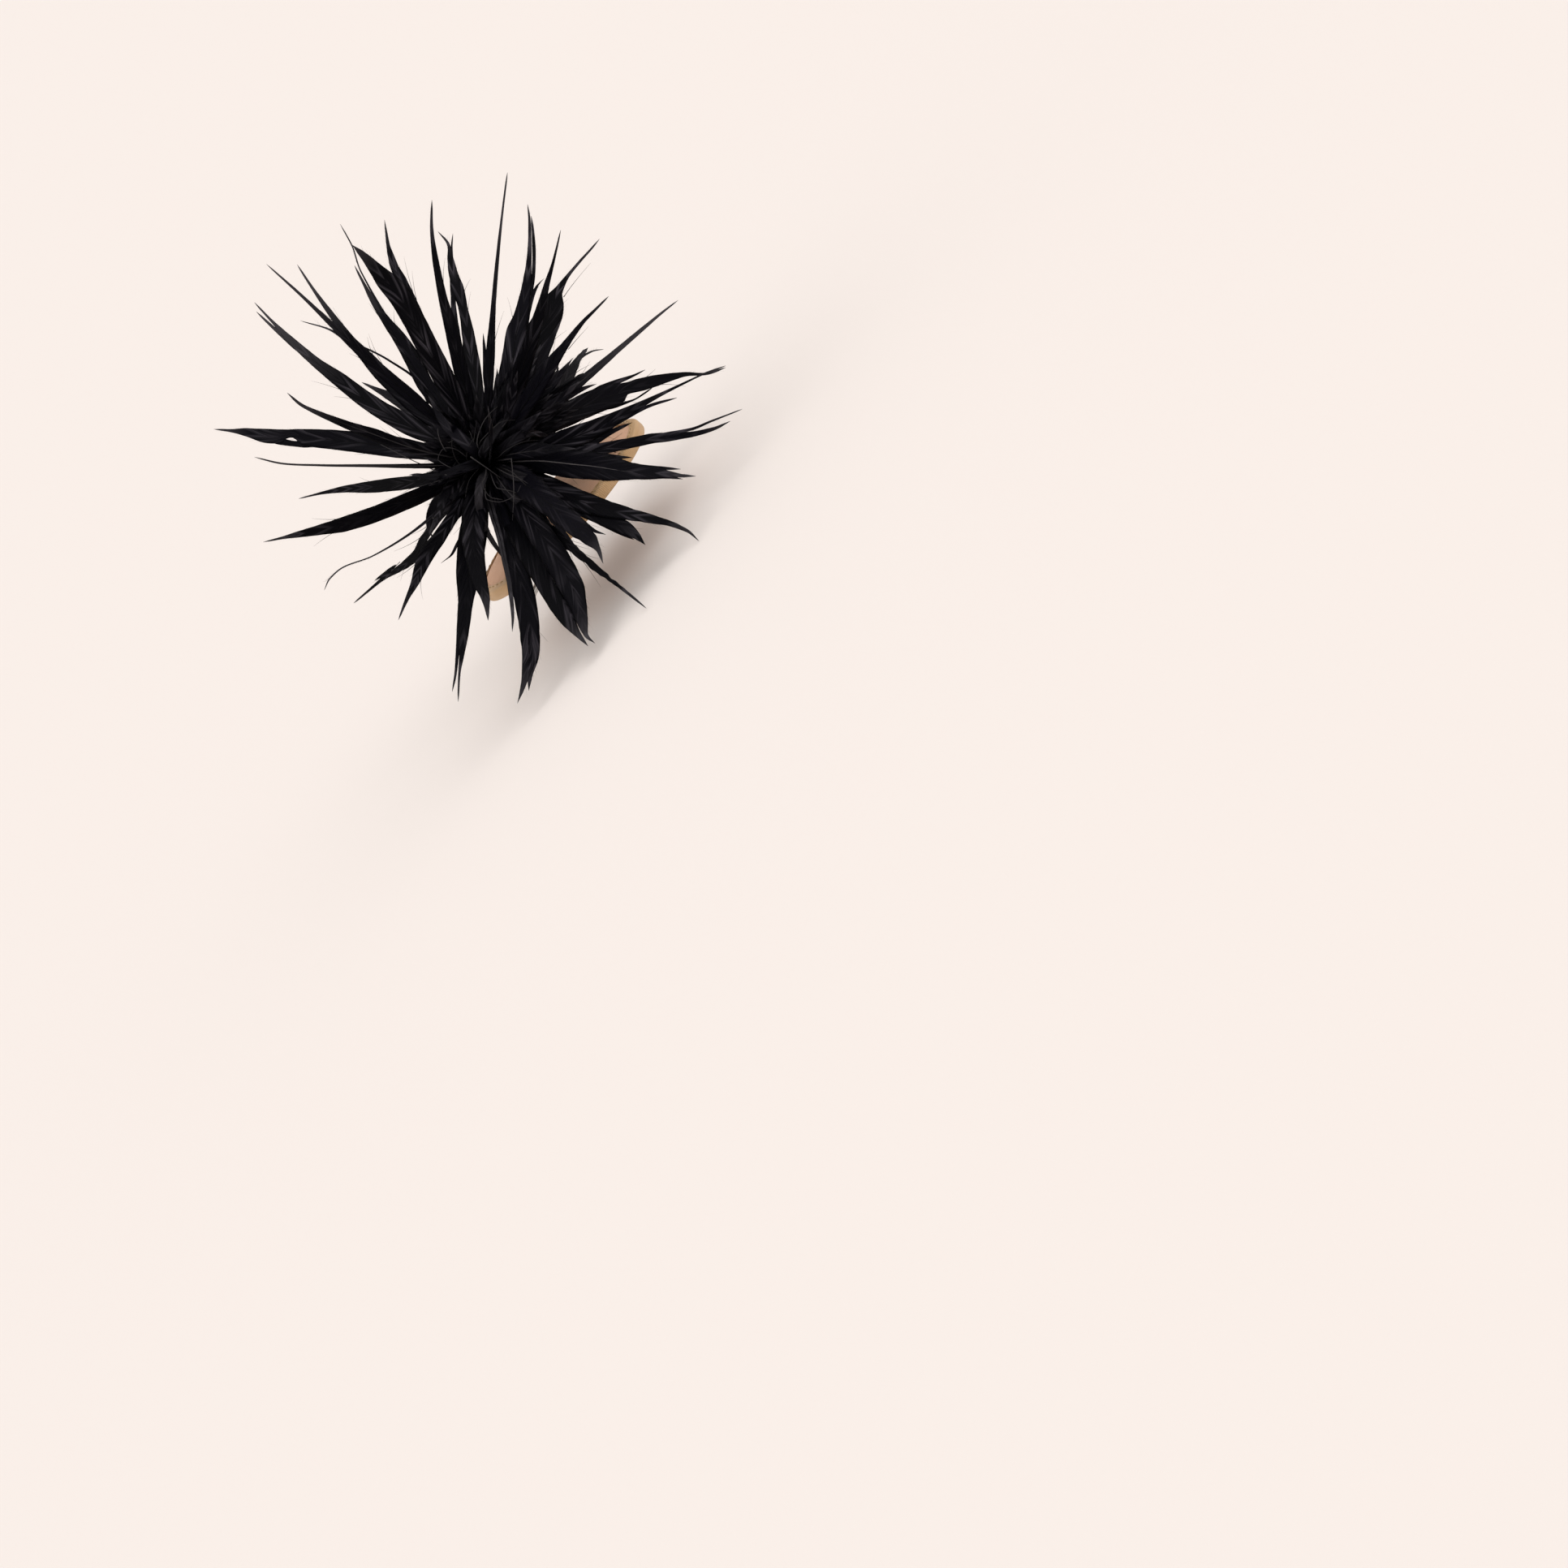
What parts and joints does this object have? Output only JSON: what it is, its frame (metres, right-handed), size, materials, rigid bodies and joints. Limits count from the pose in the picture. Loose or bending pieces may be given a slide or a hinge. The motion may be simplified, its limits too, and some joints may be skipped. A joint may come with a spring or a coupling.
{
  "type": "fascinator headpiece",
  "caption": "Spiky burst of trimmed dark feathers bound to a short stem on a small domed fabric base with a ribbon edge and a sprung hair clip beneath.",
  "frame": {"origin": "centre of the base's rim, on the plane that lies against the head", "axes": "+Z outwards along the axis of the burst, away from the head; +X the way the clip's jaws point; -Y the side seen from the front"},
  "size_m": [0.1179, 0.1404, 0.1207],
  "materials": {
    "feather": "dyed feather vane, satin, fine barb lines",
    "buckram": "stiffened woven buckram",
    "nude_fabric": "matt woven fabric",
    "ribbon": "ribbed grosgrain ribbon",
    "lining": "thin woven lining",
    "wire": "annealed wire",
    "stem_tape": "wound crepe tape",
    "black_thread": "wound polyester thread",
    "clip_steel": "nickel-plated pressed strip",
    "spring_steel": "drawn spring wire",
    "felt": "matt felt"
  },
  "bodies": {
    "headpiece": {"feather_01": "feather", "feather_02": "feather", "feather_03": "feather", "feather_04": "feather", "feather_05": "feather", "feather_06": "feather", "feather_07": "feather", "feather_08": "feather", "feather_09": "feather", "feather_10": "feather", "feather_11": "feather", "feather_12": "feather", "feather_13": "feather", "feather_14": "feather", "feather_15": "feather", "feather_16": "feather", "feather_17": "feather", "feather_18": "feather", "feather_19": "feather", "feather_20": "feather", "feather_21": "feather", "feather_22": "feather", "feather_23": "feather", "feather_24": "feather", "feather_25": "feather", "feather_26": "feather", "feather_27": "feather", "feather_28": "feather", "feather_29": "feather", "feather_30": "feather", "feather_31": "feather", "feather_32": "feather", "feather_33": "feather", "feather_34": "feather", "feather_35": "feather", "feather_36": "feather", "feather_37": "feather", "feather_38": "feather", "feather_39": "feather", "feather_40": "feather", "feather_41": "feather", "feather_42": "feather", "feather_43": "feather", "feather_44": "feather", "feather_45": "feather", "feather_46": "feather", "base_shell": "buckram", "base_cover": "nude_fabric", "edge_binding": "ribbon", "base_lining": "lining", "stem_wire": "wire", "stem_tape": "stem_tape", "thread_binding": "black_thread", "flower_stitches": "black_thread", "clip_plate": "clip_steel", "clip_hinge_pin": "clip_steel", "clip_spring": "spring_steel", "clip_pad": "felt"},
    "lever": {"clip_lever": "clip_steel"}
  },
  "joints": [
    {"name": "clip_open", "type": "hinge", "parent": "headpiece", "child": "lever", "pos_m": [-0.012, 0, -0.0016], "axis": [0, 1, 0], "range_deg": [0, 26], "stiffness_Nm_per_rad": 0.15, "springref_deg": -22.92, "deforming": ["clip_spring"]}
  ]
}
